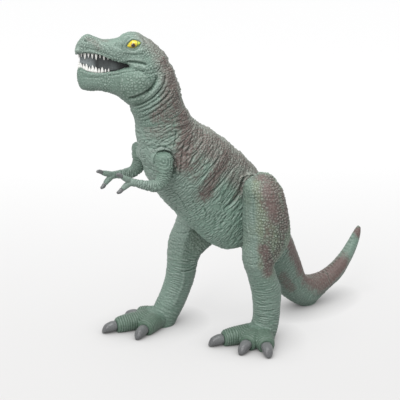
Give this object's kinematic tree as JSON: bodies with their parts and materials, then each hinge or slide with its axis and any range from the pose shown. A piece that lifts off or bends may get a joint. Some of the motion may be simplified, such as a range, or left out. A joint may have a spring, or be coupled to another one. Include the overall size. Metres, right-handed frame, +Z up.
{
  "type": "toy dinosaur figure",
  "caption": "Standing toy dinosaur figure with open toothed jaws, plug-in head, arms, legs and a curled tail that helps it stand.",
  "frame": {"origin": "on the floor under the middle of the figure's bounding box; the figure's middle plane is at Y = 8.4 mm, because the left foot spreads further out", "axes": "the figure faces -X with its tail towards +X, its left side is -Y, +Z is up"},
  "size_m": [0.3391, 0.1596, 0.3198],
  "materials": {
    "skin": "satin soft vinyl, grey-green with purple-brown patches",
    "claw": "satin dark grey",
    "tooth": "satin white",
    "mouth": "matt near-black",
    "eye": "glossy yellow with a dark pupil"
  },
  "bodies": {
    "torso": {"torso_shell": "skin"},
    "head": {"head_shell": "skin", "mouth_core": "mouth", "upper_teeth": "tooth", "lower_teeth": "tooth", "left_eye": "eye", "right_eye": "eye"},
    "left_arm": {"left_arm": "skin", "left_hand_upper_claw": "claw", "left_hand_lower_claw": "claw"},
    "right_arm": {"right_arm": "skin", "right_hand_upper_claw": "claw", "right_hand_lower_claw": "claw"},
    "left_leg": {"left_leg": "skin", "left_inner_toe_claw": "claw", "left_middle_toe_claw": "claw", "left_outer_toe_claw": "claw"},
    "right_leg": {"right_leg": "skin", "right_inner_toe_claw": "claw", "right_middle_toe_claw": "claw", "right_outer_toe_claw": "claw"},
    "tail": {"tail": "skin"}
  },
  "joints": [
    {"name": "neck_turn", "type": "hinge", "parent": "torso", "child": "head", "pos_m": [-0.0973, 0.0084, 0.241], "axis": [-0.342, 0, 0.9397], "range_deg": [-45, 45]},
    {"name": "left_shoulder", "type": "hinge", "parent": "torso", "child": "left_arm", "pos_m": [-0.1058, -0.0096, 0.202], "axis": [0, 1, 0], "range_deg": [-4, 75]},
    {"name": "right_shoulder", "type": "hinge", "parent": "torso", "child": "right_arm", "pos_m": [-0.1058, 0.0264, 0.202], "axis": [0, 1, 0], "range_deg": [-1, 85]},
    {"name": "left_hip", "type": "hinge", "parent": "torso", "child": "left_leg", "pos_m": [-0.0108, -0.0174, 0.15], "axis": [0, 1, 0], "range_deg": [-30, 20]},
    {"name": "right_hip", "type": "hinge", "parent": "torso", "child": "right_leg", "pos_m": [-0.0108, 0.0342, 0.15], "axis": [0, 1, 0], "range_deg": [-45, 10]},
    {"name": "tail_turn", "type": "hinge", "parent": "torso", "child": "tail", "pos_m": [0.0172, 0.0084, 0.107], "axis": [0.6225, 0, -0.7826], "range_deg": [-25, 25]}
  ]
}
